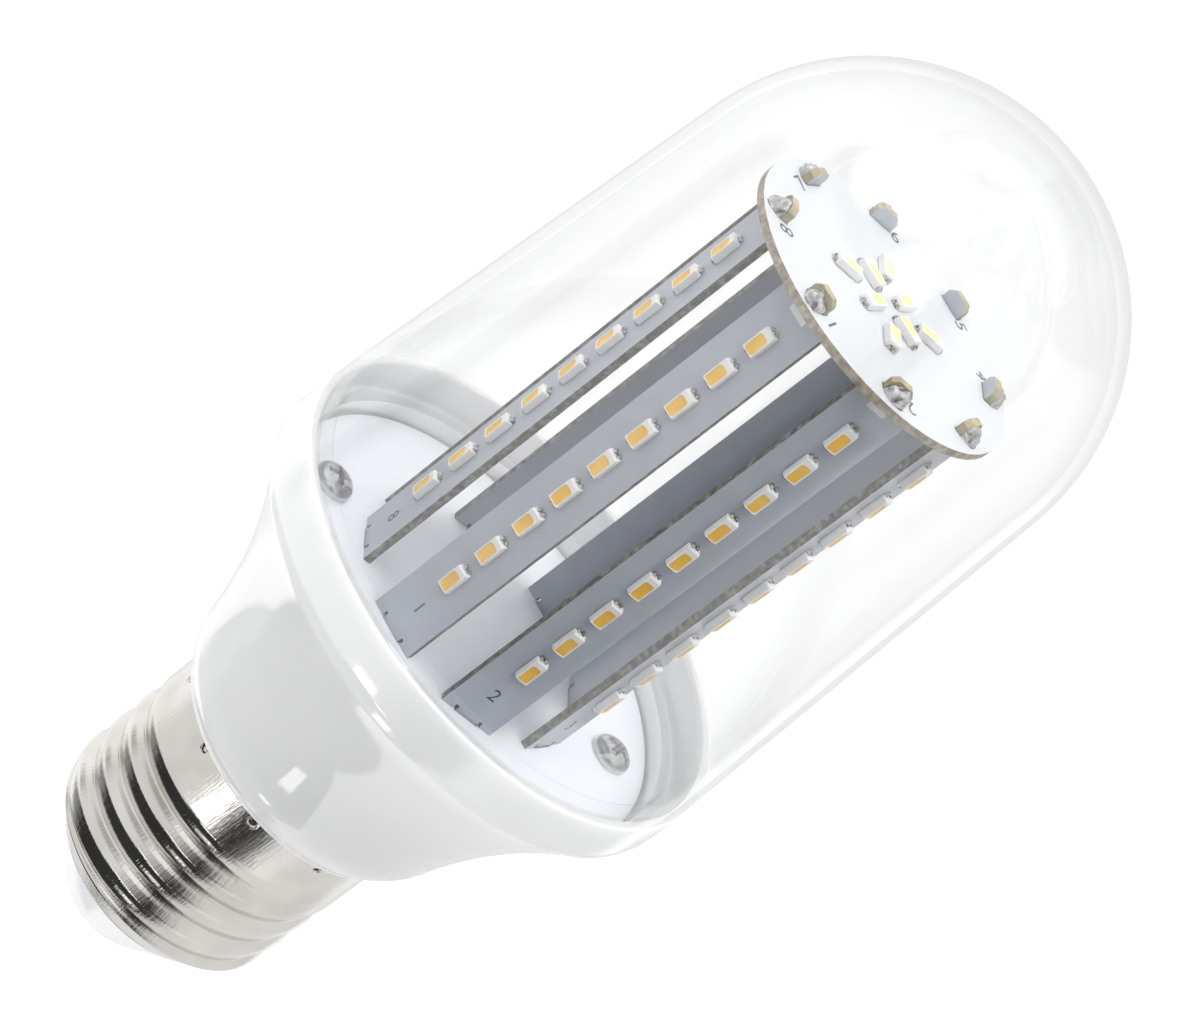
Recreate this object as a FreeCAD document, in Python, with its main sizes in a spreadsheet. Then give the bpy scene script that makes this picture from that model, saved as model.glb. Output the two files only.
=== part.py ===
import FreeCAD, Part
import math
import os

import Sketcher

# Corn LED bulb with a screw cap, a clear cover and eight upright LED strips.
# The axis of the bulb is +Z and the tip of the centre contact is at the origin.
# Millimetres. Heights stack up from there: each piece's place follows from the one below.

os.makedirs("parts", exist_ok=True)
doc = FreeCAD.newDocument("corn_led_bulb")
sheet = doc.addObject("Spreadsheet::Sheet", "sizes")

DRIVING_SIZES = [
    # screw cap
    ("cap_crest_diameter", 26.3),
    ("cap_rim_height", 28.5),
    ("cap_end_height", 7.0),
    ("cap_end_diameter", 21.0),
    ("cap_cone_height", 3.0),
    ("cap_end_lip", 0.7),
    ("cap_wall", 0.35),
    ("skirt_length", 4.8),
    ("skirt_step", 0.5),
    ("thread_pitch", 3.629),
    ("thread_depth", 0.9),
    ("thread_lead_in", 1.88),
    ("groove_mouth", 2.3),
    ("groove_root", 0.8),
    ("crimp_count", 10),
    ("crimp_diameter", 0.8),
    ("crimp_depth", 0.25),
    ("crimp_below_rim", 0.9),
    ("first_crimp_angle", 5),
    # insulator and contact
    ("nose_height", 1.0),
    ("nose_diameter", 10.6),
    ("nose_edge", 0.4),
    ("nose_floor", 4.0),
    ("insulator_rise", 1.2),
    ("insulator_hollow", 15.0),
    ("contact_diameter", 6.2),
    ("contact_edge", 0.35),
    ("contact_flat_diameter", 3.6),
    ("rivet_diameter", 1.8),
    ("clinch_diameter", 3.4),
    ("clinch_height", 0.8),
    # housing
    ("lip_diameter", 27.8),
    ("lip_edge", 0.4),
    ("shoulder_rise", 4.4),
    ("shoulder_diameter", 32.3),
    ("shoulder_radius", 7.0),
    ("bell_rise", 18.7),
    ("bell_radius", 48.8),
    ("collar_diameter", 50.9),
    ("collar_step", 0.35),
    ("collar_slope", 1.1),
    ("collar_height", 4.3),
    ("collar_wall", 0.95),
    ("neck_wall", 1.5),
    ("neck_rise", 2.5),
    ("housing_wall", 1.6),
    ("ledge_width", 1.3),
    ("ledge_thickness", 0.7),
    ("rib_width", 1.0),
    ("rib_reach", 2.1),
    ("rib_root", 0.4),
    ("screw_inset", 4.4),
    ("screw_angle", 137),
    ("boss_diameter", 5.0),
    ("boss_length", 4.4),
    # clear cover
    ("cover_height", 64.9),
    ("cover_taper", 3.7),
    ("cover_step", 0.16),
    ("cover_wall", 1.2),
    ("cover_foot", 4.0),
    ("cover_foot_inside", 0.6),
    ("cover_wall_start", 1.6),
    # boards
    ("board_thickness", 0.8),
    ("base_board_drop", 5.8),
    ("board_spacing", 50.5),
    ("top_board_margin", 1.95),
    ("strip_count", 8),
    ("first_strip_angle", 14),
    ("strip_width", 5.9),
    ("strips_inset", 9.35),
    ("tab_width", 2.5),
    ("tab_out_top", 1.45),
    ("tab_out_base", 1.2),
    ("tab_corner", 0.5),
    ("notch_width", 0.35),
    ("notch_depth", 0.6),
    # light-emitting packages
    ("led_count", 9),
    ("led_length", 2.8),
    ("led_width", 1.4),
    ("led_height", 0.8),
    ("led_pitch", 4.54),
    ("first_led", 8.3),
    ("window_length", 2.05),
    ("window_width", 1.05),
    ("window_depth", 0.3),
    ("window_shift", 0.25),
    ("spoke_count", 4),
    ("inner_ring_diameter", 6.0),
    ("outer_ring_diameter", 10.3),
    # screws, solder and wires
    ("screw_head_diameter", 4.2),
    ("screw_head_height", 1.5),
    ("screw_head_edge", 0.6),
    ("screw_crown_diameter", 2.8),
    ("screw_diameter", 2.2),
    ("screw_length", 6.0),
    ("recess_width", 0.6),
    ("recess_span", 2.6),
    ("recess_depth", 0.7),
    ("solder_width", 2.1),
    ("solder_height", 1.25),
    ("solder_reach", 1.375),
    ("wire_diameter", 1.2),
    ("live_wire_across", 5.5),
    ("neutral_wire_across", -6.5),
    ("neutral_wire_angle", 221.7),
    ("output_wire_across", 10.5),
    ("wire_overlap", 6.0),
    # driver board
    ("driver_drop", 3.7),
    ("driver_narrow", 19.4),
    ("driver_wide", 25.0),
    ("driver_step", 23.8),
    ("driver_slope", 2.0),
    # driver parts on the transformer's side
    ("transformer_drop", 5.5),
    ("winding_width", 10.6),
    ("winding_height", 6.6),
    ("winding_rise", 10.0),
    ("core_width", 16.0),
    ("core_height", 11.0),
    ("core_rise", 5.0),
    ("core_lift", 2.6),
    ("core_gap", 0.2),
    ("chips_place", 17.8),
    ("rectifier_across", -3.0),
    ("rectifier_width", 6.0),
    ("rectifier_height", 5.0),
    ("rectifier_rise", 2.6),
    ("controller_across", 4.0),
    ("controller_width", 4.0),
    ("controller_height", 5.0),
    ("controller_rise", 1.6),
    ("choke_place", 7.8),
    ("choke_diameter", 8.0),
    ("choke_rise", 8.0),
    # driver parts on the capacitors' side
    ("input_capacitor_diameter", 8.0),
    ("input_capacitor_rise", 8.6),
    ("output_capacitor_across", 5.0),
    ("output_capacitor_drop", 6.0),
    ("output_capacitor_diameter", 8.0),
    ("output_capacitor_rise", 11.0),
    ("film_capacitor_across", -6.5),
    ("film_capacitor_drop", 6.5),
    ("film_capacitor_width", 8.0),
    ("film_capacitor_rise", 5.0),
    ("resistor_length", 7.5),
    ("resistor_thickness", 3.2),
    # clearances between mating pieces
    ("round_clearance", 0.3),
    ("slot_clearance", 0.1),
]


class Size:
    """A length or angle that carries its value and its formula in the sheet."""

    def __init__(self, value, formula):
        self.value = value
        self.formula = formula

    def joined(self, other, sign, value):
        return Size(value, "(%s %s %s)" % (self.formula, sign, other.formula))

    def __add__(self, other):
        other = as_size(other)
        return self.joined(other, "+", self.value + other.value)

    def __sub__(self, other):
        other = as_size(other)
        return self.joined(other, "-", self.value - other.value)

    def __mul__(self, other):
        other = as_size(other)
        return self.joined(other, "*", self.value * other.value)

    def __truediv__(self, other):
        other = as_size(other)
        return self.joined(other, "/", self.value / other.value)

    def __neg__(self):
        return Size(-self.value, "(-1 * %s)" % self.formula)


def as_size(number):
    return number if isinstance(number, Size) else Size(number, repr(number))


def trig(name, angle):
    value = getattr(math, name)(math.radians(angle.value))
    return Size(value, "%s(%s * 1deg)" % (name, angle.formula))


size = {}
for row, (alias, number) in enumerate(DRIVING_SIZES, start=1):
    sheet.set("A%d" % row, alias)
    sheet.set("B%d" % row, str(number))
    sheet.setAlias("B%d" % row, alias)
    size[alias] = Size(number, "sizes.%s" % alias)
doc.recompute()

ZERO = as_size(0)
CLEAR = size["round_clearance"]
SLOT = size["slot_clearance"]
BOARD = size["board_thickness"]

# Heights stacked up the axis, from the cap to the tip of the cover
cap_full_height = size["cap_end_height"] + size["cap_cone_height"]
cap_rim = size["cap_rim_height"]
skirt_start = cap_rim - size["skirt_length"]
insulator_top = cap_full_height + size["insulator_rise"]
shoulder_height = cap_rim + size["shoulder_rise"]
bell_height = shoulder_height + size["bell_rise"]
collar_start = bell_height + size["collar_slope"]
housing_top = collar_start + size["collar_height"]
base_board_top = housing_top - size["base_board_drop"]
base_board_low = base_board_top - BOARD
top_board_top = base_board_top + size["board_spacing"]
cover_tip = housing_top + size["cover_height"]
driver_top = base_board_low - size["driver_drop"]

# Radii stacked inwards, from the crest of the thread and from the collar
cap_crest = size["cap_crest_diameter"] / 2
cap_bore = cap_crest - size["thread_depth"] - size["cap_wall"]
skirt_bore = cap_crest - size["cap_wall"]
collar_radius = size["collar_diameter"] / 2
foot_radius = collar_radius - size["collar_wall"] - CLEAR
board_pocket = foot_radius - size["cover_wall"]
base_board_radius = board_pocket - CLEAR
strips_radius = base_board_radius - size["strips_inset"]
screw_reach = base_board_radius - size["screw_inset"]


# Helpers for sketches and features

def new_body(name, turn=None):
    """One piece of the bulb, turned about the axis where its place asks for it."""
    body = doc.addObject("PartDesign::Body", name)
    body.Label = name
    angle = turn.value if turn else 0
    rotation = FreeCAD.Rotation(FreeCAD.Vector(0, 0, 1), angle)
    body.Placement = FreeCAD.Placement(FreeCAD.Vector(0, 0, 0), rotation)
    if turn:
        body.setExpression("Placement.Rotation.Angle", "%s * 1deg" % turn.formula)
    return body


def origin_feature(body, role):
    for feature in body.Origin.OriginFeatures:
        if feature.Role == role:
            return feature
    raise RuntimeError("no origin feature " + role)


def new_sketch(body, plane, offset=None):
    sketch = body.newObject("Sketcher::SketchObject", body.Name + "_outline")
    sketch.AttachmentSupport = (origin_feature(body, plane), [""])
    sketch.MapMode = "FlatFace"
    if offset:
        sketch.AttachmentOffset = FreeCAD.Placement(
            FreeCAD.Vector(0, 0, offset.value), FreeCAD.Rotation())
        sketch.setExpression("AttachmentOffset.Base.z", offset.formula)
    return sketch


def pin_point(sketch, geometry, position, across, up):
    """Hold a sketch point at a distance from the sketch's origin on both axes."""
    for kind, distance, axis in (("DistanceX", across, -2), ("DistanceY", up, -1)):
        if distance.value == 0:
            sketch.addConstraint(Sketcher.Constraint("PointOnObject", geometry, position, axis))
            continue
        index = sketch.addConstraint(
            Sketcher.Constraint(kind, -1, 1, geometry, position, distance.value))
        sketch.setExpression("Constraints[%d]" % index, distance.formula)


def arc_between(start, end, radius):
    """Arc from start to end; a positive radius bulges to the right of the way."""
    chord = end - start
    half = chord.Length / 2
    side = FreeCAD.Vector(-chord.y, chord.x, 0).normalize()
    reach = math.sqrt(max(radius * radius - half * half, 0))
    centre = (start + end) * 0.5 + side * (reach if radius > 0 else -reach)
    first, last = (start, end) if radius > 0 else (end, start)
    angles = [math.atan2(point.y - centre.y, point.x - centre.x) for point in (first, last)]
    circle = Part.Circle(centre, FreeCAD.Vector(0, 0, 1), abs(radius))
    return Part.ArcOfCircle(circle, angles[0], angles[1])


def draw_outline(sketch, corners):
    """Closed outline. A corner is (across, up) or, with an arc after it, (across, up, radius)."""
    points = [FreeCAD.Vector(c[0].value, c[1].value, 0) for c in corners]
    first = sketch.GeometryCount
    ends = []
    for number, corner in enumerate(corners):
        start, end = points[number], points[(number + 1) % len(points)]
        if len(corner) == 3:
            sketch.addGeometry(arc_between(start, end, corner[2].value), False)
            ends.append((1, 2) if corner[2].value > 0 else (2, 1))
        else:
            sketch.addGeometry(Part.LineSegment(start, end), False)
            ends.append((1, 2))
    for number, corner in enumerate(corners):
        following = (number + 1) % len(corners)
        sketch.addConstraint(Sketcher.Constraint(
            "Coincident", first + number, ends[number][1], first + following, ends[following][0]))
        pin_point(sketch, first + number, ends[number][0], corner[0], corner[1])
        if len(corner) == 3:
            radius = corner[2] if corner[2].value > 0 else -corner[2]
            index = sketch.addConstraint(
                Sketcher.Constraint("Radius", first + number, radius.value))
            sketch.setExpression("Constraints[%d]" % index, radius.formula)


def draw_circle(sketch, across, up, diameter):
    centre = FreeCAD.Vector(across.value, up.value, 0)
    index = sketch.addGeometry(
        Part.Circle(centre, FreeCAD.Vector(0, 0, 1), diameter.value / 2), False)
    pin_point(sketch, index, 3, across, up)
    radius = sketch.addConstraint(Sketcher.Constraint("Radius", index, diameter.value / 2))
    sketch.setExpression("Constraints[%d]" % radius, "%s / 2" % diameter.formula)


def rectangle(left, low, right, high):
    return [(left, low), (right, low), (right, high), (left, high)]


def turned(body, corners, cut=False):
    """A turned or bored form: the outline swept round the bulb's axis."""
    sketch = new_sketch(body, "XZ_Plane")
    draw_outline(sketch, corners)
    kind = "PartDesign::Groove" if cut else "PartDesign::Revolution"
    feature = body.newObject(kind, body.Name + "_turned")
    feature.Profile = sketch
    feature.ReferenceAxis = (sketch, ["V_Axis"])
    feature.Angle = 360
    return feature


def pad(body, sketch, length, backwards=False, both_ways=False):
    feature = body.newObject("PartDesign::Pad", body.Name + "_pad")
    feature.Profile = sketch
    feature.setExpression("Length", length.formula)
    feature.Reversed = backwards
    feature.SideType = "Symmetric" if both_ways else "One side"
    return feature


def pocket(body, sketch, depth, backwards=False):
    feature = body.newObject("PartDesign::Pocket", body.Name + "_pocket")
    feature.Profile = sketch
    feature.setExpression("Length", depth.formula)
    feature.Reversed = backwards
    return feature


def polar_pattern(body, originals, count):
    pattern = body.newObject("PartDesign::PolarPattern", body.Name + "_round")
    pattern.Originals = originals
    pattern.Axis = (origin_feature(body, "Z_Axis"), [""])
    pattern.Angle = 360
    pattern.setExpression("Occurrences", count.formula)
    body.Tip = pattern
    return pattern


# Screw cap: rolled metal shell with a round thread, a plain skirt and punched crimps

def make_screw_shell():
    end = size["cap_end_height"]
    end_radius = size["cap_end_diameter"] / 2
    end_bore = end_radius - size["cap_wall"] * 2
    # half a turn on from the first crimp, the groove's two ends lie away from each other
    body = new_body("screw_shell", size["first_crimp_angle"] + 180)
    turned(body, [
        (end_bore, end),
        (end_radius, end),
        (cap_crest, cap_full_height),
        (cap_crest, cap_rim),
        (skirt_bore, cap_rim),
        (skirt_bore, skirt_start),
        (cap_bore, skirt_start - size["skirt_step"]),
        (cap_bore, cap_full_height + size["cap_wall"] / 2),
        (end_bore, end + size["cap_end_lip"]),
    ])

    # the rolled groove climbs to the right, and its mouth stands proud of the crest
    groove = new_sketch(body, "XZ_Plane")
    mouth = size["groove_mouth"] / 2
    root = size["groove_root"] / 2
    start = end - size["thread_lead_in"]
    finish = skirt_start - mouth - SLOT
    proud = (mouth - root) / size["thread_depth"] * SLOT
    draw_outline(groove, [
        (cap_crest + SLOT, start - mouth - proud),
        (cap_crest + SLOT, start + mouth + proud),
        (cap_crest - size["thread_depth"], start + root),
        (cap_crest - size["thread_depth"], start - root),
    ])
    thread = body.newObject("PartDesign::SubtractiveHelix", "screw_shell_thread")
    thread.Profile = groove
    thread.ReferenceAxis = (groove, ["V_Axis"])
    thread.Mode = "pitch-turns-angle"
    thread.setExpression("Pitch", size["thread_pitch"].formula)
    thread.setExpression("Turns", ((finish - start) / size["thread_pitch"]).formula)
    thread.LeftHanded = False

    punch = new_sketch(body, "YZ_Plane", cap_crest - size["crimp_depth"])
    draw_circle(punch, ZERO, cap_rim - size["crimp_below_rim"], size["crimp_diameter"])
    crimp = pocket(body, punch, size["crimp_depth"] * 2, backwards=True)
    polar_pattern(body, [crimp], size["crimp_count"])


# Cap insulator: white moulded nose, clinched into the turned-in end of the shell

def make_cap_insulator():
    nose = size["nose_diameter"] / 2
    low = size["nose_height"]
    floor = low + size["nose_floor"]
    shoulder = size["cap_end_diameter"] / 2
    seat = size["cap_end_height"]
    collar = shoulder - size["cap_wall"] * 2 - CLEAR
    flange = cap_bore - CLEAR
    hole = size["rivet_diameter"] / 2 + CLEAR
    hollow = size["insulator_hollow"] / 2
    turned(new_body("cap_insulator"), [
        (hole, low),
        (nose - size["nose_edge"], low),
        (nose, low + size["nose_edge"]),
        (shoulder, seat),
        (collar, seat),
        (collar, seat + size["cap_end_lip"] + SLOT),
        (flange, cap_full_height + CLEAR * 2),
        (flange, insulator_top),
        (hollow, insulator_top),
        (hollow, floor),
        (hole, floor),
    ])


# Centre contact: one rivet, its head under the nose and its tail clinched over inside

def make_centre_contact():
    head = size["contact_diameter"] / 2
    shank = size["rivet_diameter"] / 2
    clinch = size["clinch_diameter"] / 2
    seat = size["nose_height"]
    floor = seat + size["nose_floor"]
    turned(new_body("centre_contact"), [
        (ZERO, ZERO),
        (size["contact_flat_diameter"] / 2, ZERO),
        (head, seat - size["contact_edge"]),
        (head, seat),
        (shank, seat),
        (shank, floor),
        (clinch, floor),
        (clinch, floor + size["clinch_height"]),
        (ZERO, floor + size["clinch_height"]),
    ])


# Housing: one white moulding with a neck in the cap, a bell, a collar, two bosses and ribs

def make_housing():
    neck = skirt_bore - CLEAR
    neck_bore = neck - size["neck_wall"]
    neck_start = skirt_start + CLEAR
    neck_top = cap_rim + size["neck_rise"]
    lip = size["lip_diameter"] / 2
    shoulder = size["shoulder_diameter"] / 2
    foot_seat = housing_top - size["cover_foot"]
    foot_bore = foot_radius + CLEAR
    ledge = board_pocket - size["ledge_width"]
    ledge_low = base_board_low - size["ledge_thickness"]
    # inside, the wall follows the bell's own curve
    inner_shoulder = shoulder - size["housing_wall"]
    inner_bell = size["bell_radius"] + size["housing_wall"]
    body = new_body("housing", size["screw_angle"])
    turned(body, [
        (neck, neck_start),
        (neck, cap_rim),
        (lip, cap_rim),
        (lip, cap_rim + size["lip_edge"], size["shoulder_radius"]),
        (shoulder, shoulder_height, -size["bell_radius"]),
        (collar_radius - size["collar_step"], bell_height),
        (collar_radius, collar_start),
        (collar_radius, housing_top),
        (foot_bore, housing_top),
        (foot_bore, foot_seat),
        (board_pocket, foot_seat),
        (board_pocket, base_board_low),
        (ledge, base_board_low),
        (ledge, ledge_low, inner_bell),
        (inner_shoulder, shoulder_height),
        (neck_bore, neck_top),
        (neck_bore, neck_start),
    ])

    boss = new_sketch(body, "XY_Plane", base_board_low)
    for side in (1, -1):
        draw_circle(boss, screw_reach * side, ZERO, size["boss_diameter"])
    pad(body, boss, size["boss_length"], backwards=True)
    pilot = new_sketch(body, "XY_Plane", base_board_low)
    for side in (1, -1):
        draw_circle(pilot, screw_reach * side, ZERO, size["screw_diameter"] + CLEAR * 2)
    pocket(body, pilot, size["boss_length"] * 2)

    # two pairs of ribs in the neck hold the driver board by its edges
    ribs = new_sketch(body, "XY_Plane", neck_start)
    near = BOARD / 2 + SLOT
    far = near + size["rib_width"]
    reach = neck_bore - size["rib_reach"]
    for across in (1, -1):
        for up in (1, -1):
            draw_outline(ribs, rectangle(near * across, reach * up, far * across,
                                         (neck_bore + size["rib_root"]) * up))
    pad(body, ribs, neck_top - neck_start)


# Clear cover: bullet of thin clear plastic with a stepped foot that snaps into the collar

def make_clear_cover():
    wall = size["cover_wall"]
    taper = size["cover_taper"]
    slope = trig("tan", taper)
    sine = trig("sin", taper)
    cosine = trig("cos", taper)
    rim = collar_radius - size["cover_step"]
    # the ball end whose tangent cone meets the rim
    nose = (rim - size["cover_height"] * slope) / (cosine + (sine - 1) * slope)
    centre = cover_tip - nose
    inner_nose = nose - wall
    start = size["cover_wall_start"]
    inner_height = centre + inner_nose * sine
    turned(new_body("clear_cover"), [
        (foot_radius, housing_top - size["cover_foot"]),
        (foot_radius, housing_top),
        (rim, housing_top),
        (nose * cosine, centre + nose * sine, nose),
        (ZERO, cover_tip),
        (ZERO, cover_tip - wall, -inner_nose),
        (inner_nose * cosine, inner_height),
        (inner_nose * cosine + (inner_height - housing_top - start) * slope,
         housing_top + start),
        (foot_radius - wall, housing_top + size["cover_foot_inside"]),
        (foot_radius - wall, housing_top - size["cover_foot"]),
    ])


# Boards: round base and top boards slotted for the tabs of eight upright strips

def slotted_disc(name, height, radius, screw_holes):
    body = new_body(name, size["first_strip_angle"])
    disc = new_sketch(body, "XY_Plane", height - BOARD)
    draw_circle(disc, ZERO, ZERO, radius * 2)
    if screw_holes:
        turn = size["screw_angle"] - size["first_strip_angle"]
        for side in (1, -1):
            draw_circle(disc, screw_reach * trig("cos", turn) * side,
                        screw_reach * trig("sin", turn) * side,
                        size["screw_diameter"] + CLEAR * 2)
    pad(body, disc, BOARD)
    half = size["tab_width"] / 2 + SLOT
    slots = new_sketch(body, "XY_Plane", height)
    draw_outline(slots, rectangle(strips_radius - BOARD - SLOT, -half,
                                  strips_radius + SLOT, half))
    slot = pocket(body, slots, BOARD * 2)
    polar_pattern(body, [slot], size["strip_count"])


def strip_angle(number):
    return size["first_strip_angle"] + as_size(360) / size["strip_count"] * number


def make_led_strip(number):
    """Upright board with a tab and two relief notches at each end."""
    body = new_body("led_strip_%d" % (number + 1), strip_angle(number))
    low = base_board_top
    high = top_board_top - BOARD
    side = size["strip_width"] / 2
    tab = size["tab_width"] / 2
    notch = tab + size["notch_width"]
    depth = size["notch_depth"]
    tab_high = top_board_top + size["tab_out_top"]
    right = [
        (tab, base_board_low - size["tab_out_base"]),
        (tab, low + depth),
        (notch, low + depth),
        (notch, low),
        (side, low),
        (side, high),
        (notch, high),
        (notch, high - depth),
        (tab, high - depth),
        (tab, tab_high - size["tab_corner"]),
        (tab - size["tab_corner"], tab_high),
    ]
    left = [(-across, up) for across, up in reversed(right)]
    face = new_sketch(body, "YZ_Plane", strips_radius - BOARD)
    draw_outline(face, right + left)
    pad(body, face, BOARD)


def centred_rectangle(across, up, width, height):
    return rectangle(across - width / 2, up - height / 2, across + width / 2, up + height / 2)


def row_up_the_strip(body, originals):
    pattern = body.newObject("PartDesign::LinearPattern", body.Name + "_row")
    pattern.Originals = originals
    pattern.Direction = (origin_feature(body, "Z_Axis"), [""])
    pattern.setExpression("Length", "(%s - 1) * %s" % (
        size["led_count"].formula, size["led_pitch"].formula))
    pattern.setExpression("Occurrences", size["led_count"].formula)
    body.Tip = pattern


def make_strip_leds(number):
    """A row of white cups with their yellow windows on the strip's outer face."""
    height = base_board_top + size["first_led"]
    top = strips_radius + size["led_height"]
    window = centred_rectangle(ZERO, height - size["window_shift"],
                               size["window_width"], size["window_length"])

    cups = new_body("strip_%d_leds" % (number + 1), strip_angle(number))
    outline = new_sketch(cups, "YZ_Plane", strips_radius)
    draw_outline(outline, centred_rectangle(ZERO, height, size["led_width"], size["led_length"]))
    cup = pad(cups, outline, size["led_height"])
    opening = new_sketch(cups, "YZ_Plane", top)
    draw_outline(opening, window)
    hollow = pocket(cups, opening, size["window_depth"])
    row_up_the_strip(cups, [cup, hollow])

    phosphors = new_body("strip_%d_phosphors" % (number + 1), strip_angle(number))
    outline = new_sketch(phosphors, "YZ_Plane", top - size["window_depth"])
    draw_outline(outline, window)
    row_up_the_strip(phosphors, [pad(phosphors, outline, size["window_depth"])])


def spoke_sketch(body, height, turn):
    """A level sketch turned to one spoke of the top board's LEDs."""
    sketch = new_sketch(body, "XY_Plane", height)
    rotation = FreeCAD.Rotation(FreeCAD.Vector(0, 0, 1), turn.value)
    sketch.AttachmentOffset = FreeCAD.Placement(FreeCAD.Vector(0, 0, height.value), rotation)
    sketch.setExpression("AttachmentOffset.Base.z", height.formula)
    sketch.setExpression("AttachmentOffset.Rotation.Angle", "%s * 1deg" % turn.formula)
    return sketch


def make_top_leds():
    """Packages laid out as spokes, every second one further out."""
    top = top_board_top + size["led_height"]
    cups = new_body("top_leds", size["first_strip_angle"])
    phosphors = new_body("top_phosphors", size["first_strip_angle"])
    cup_features = []
    phosphor_features = []
    half_step = as_size(180) / size["spoke_count"]
    for turn, ring in ((ZERO, "inner_ring_diameter"), (half_step, "outer_ring_diameter")):
        reach = size[ring] / 2
        cup = spoke_sketch(cups, top_board_top, turn)
        draw_outline(cup, centred_rectangle(reach, ZERO, size["led_length"], size["led_width"]))
        cup_features.append(pad(cups, cup, size["led_height"]))
        window = centred_rectangle(reach - size["window_shift"], ZERO,
                                   size["window_length"], size["window_width"])
        opening = spoke_sketch(cups, top, turn)
        draw_outline(opening, window)
        cup_features.append(pocket(cups, opening, size["window_depth"]))
        filling = spoke_sketch(phosphors, top - size["window_depth"], turn)
        draw_outline(filling, window)
        phosphor_features.append(pad(phosphors, filling, size["window_depth"]))
    polar_pattern(cups, cup_features, size["spoke_count"])
    polar_pattern(phosphors, phosphor_features, size["spoke_count"])


# Fixings: two pan head screws and the solder at the strips' tabs

def make_base_screws():
    axis = screw_reach
    seat = base_board_top
    head = size["screw_head_diameter"] / 2
    shank = size["screw_diameter"] / 2
    crown = size["screw_crown_diameter"] / 2
    height = size["screw_head_height"]
    body = new_body("base_board_screws", size["screw_angle"])
    sketch = new_sketch(body, "XZ_Plane")
    draw_outline(sketch, [
        (axis, seat - size["screw_length"]),
        (axis + shank, seat - size["screw_length"] + shank),
        (axis + shank, seat),
        (axis + head, seat),
        (axis + head, seat + size["screw_head_edge"]),
        (axis + crown, seat + height),
        (axis, seat + height),
    ])
    centre = sketch.addGeometry(Part.LineSegment(
        FreeCAD.Vector(axis.value, 0, 0), FreeCAD.Vector(axis.value, 1, 0)), True)
    pin_point(sketch, centre, 1, axis, ZERO)
    pin_point(sketch, centre, 2, axis, as_size(1))
    screw = body.newObject("PartDesign::Revolution", "base_board_screws_turned")
    screw.Profile = sketch
    screw.ReferenceAxis = (sketch, ["Axis0"])
    screw.Angle = 360

    # cross recess
    recess = new_sketch(body, "XY_Plane", seat + height)
    half = size["recess_width"] / 2
    arm = size["recess_span"] / 2
    quarter = [(arm, -half), (arm, half), (half, half)]
    cross = []
    for turn in range(4):
        cross += quarter
        quarter = [(-up, across) for across, up in quarter]
    draw_outline(recess, [(axis + across, up) for across, up in cross])
    cut = pocket(body, recess, size["recess_depth"])
    polar_pattern(body, [screw, cut], as_size(2))


def make_solder_joints(name, face, rise):
    """A fillet of solder between each tab's outer face and the board's copper."""
    body = new_body(name, size["first_strip_angle"])
    fillet = new_sketch(body, "XZ_Plane")
    draw_outline(fillet, [
        (strips_radius, face),
        (strips_radius + size["solder_reach"], face),
        (strips_radius, face + rise),
    ])
    joint = pad(body, fillet, size["solder_width"], both_ways=True)
    polar_pattern(body, [joint], size["strip_count"])


# Driver: an upright board in the cap and bell with its parts on both sides, and four wires

def make_driver_board():
    narrow = size["driver_narrow"] / 2
    wide = size["driver_wide"] / 2
    step = insulator_top + size["driver_step"]
    right = [
        (narrow, insulator_top),
        (narrow, step - size["driver_slope"]),
        (wide, step),
        (wide, driver_top),
    ]
    body = new_body("driver_board", size["screw_angle"])
    face = new_sketch(body, "YZ_Plane")
    draw_outline(face, right + [(-across, up) for across, up in reversed(right)])
    pad(body, face, BOARD, both_ways=True)


def on_driver_board(name, side, rise, outline=None, circle=None, lift=ZERO, window=None):
    """A driver part that stands on one side of the board by its flat base."""
    body = new_body(name, size["screw_angle"])
    sketch = new_sketch(body, "YZ_Plane", (BOARD / 2 + lift) * side)
    if circle:
        draw_circle(sketch, *circle)
    else:
        draw_outline(sketch, outline)
    if window:
        draw_outline(sketch, window)
    pad(body, sketch, rise, backwards=side < 0)


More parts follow.
